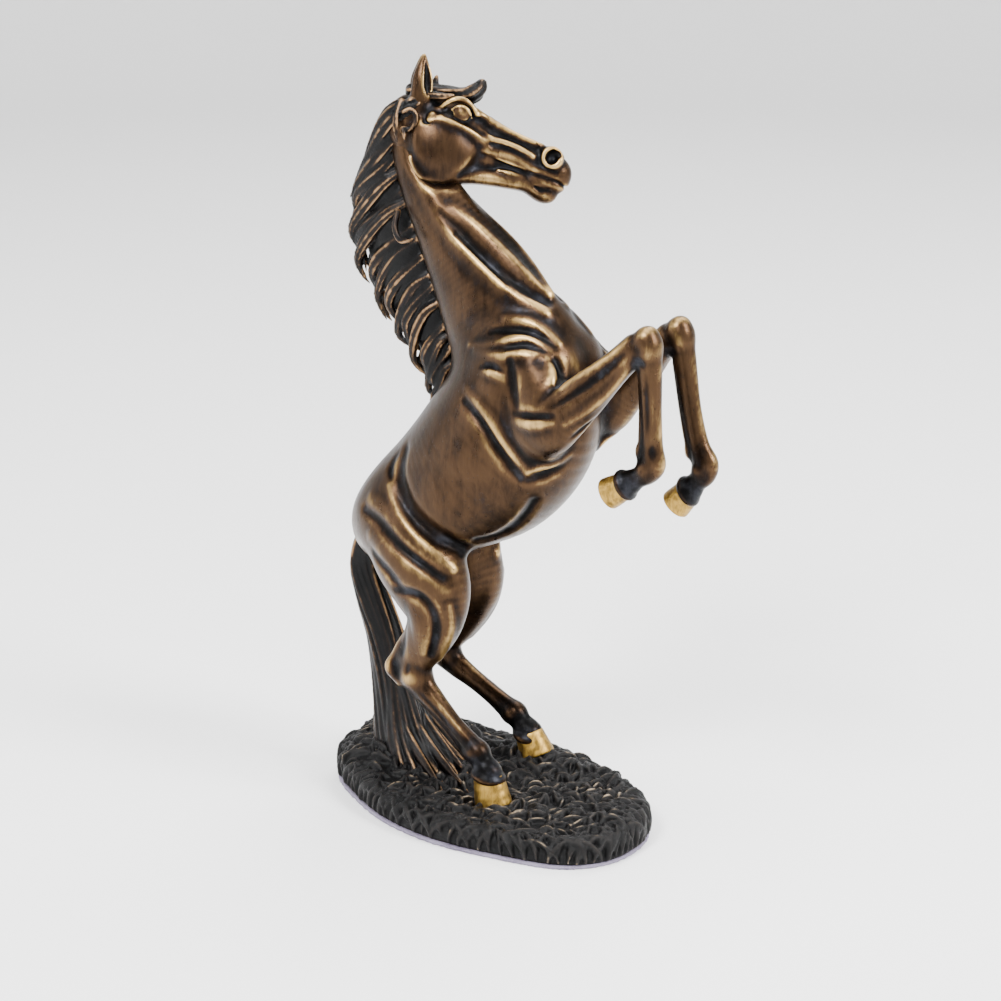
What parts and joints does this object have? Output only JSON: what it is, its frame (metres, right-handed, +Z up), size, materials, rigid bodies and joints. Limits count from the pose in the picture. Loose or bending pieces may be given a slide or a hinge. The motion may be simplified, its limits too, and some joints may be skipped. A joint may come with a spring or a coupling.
{
  "type": "rearing horse figurine",
  "caption": "Cast-bronze-finish figurine of a rearing horse with gilded hooves, standing on an oval grassy base with a felt pad underneath.",
  "frame": {"origin": "centre of the felt pad's underside, on the surface the figurine stands on", "axes": "+X the way the horse faces, +Y the horse's left side, +Z up"},
  "size_m": [0.1633, 0.0966, 0.2834],
  "materials": {
    "bronze": "satin bronze-brown rubbed metal over a near-black patina in the recesses",
    "dark_bronze": "near-black bronze patina with lightly rubbed bronze edges",
    "gilt": "brushed yellow gilding",
    "base_patina": "black patina, dry-brushed tan and bronze on the ridges",
    "felt": "short dark felt",
    "steel": "plain zinc-plated steel"
  },
  "bodies": {
    "root": {"base": "base_patina", "felt_pad": "felt", "torso": "bronze", "neck": "bronze", "head": "bronze", "mane": "dark_bronze", "forelock": "dark_bronze", "tail": "dark_bronze", "right_foreleg": "bronze", "left_foreleg": "bronze", "right_hind_leg": "bronze", "left_hind_leg": "bronze", "right_fore_hoof": "gilt", "left_fore_hoof": "gilt", "right_hind_hoof": "gilt", "left_hind_hoof": "gilt", "studs": "steel", "washers": "steel", "nuts": "steel", "leg_dowels": "steel", "neck_pin": "steel", "head_pin": "steel"}
  },
  "joints": []
}
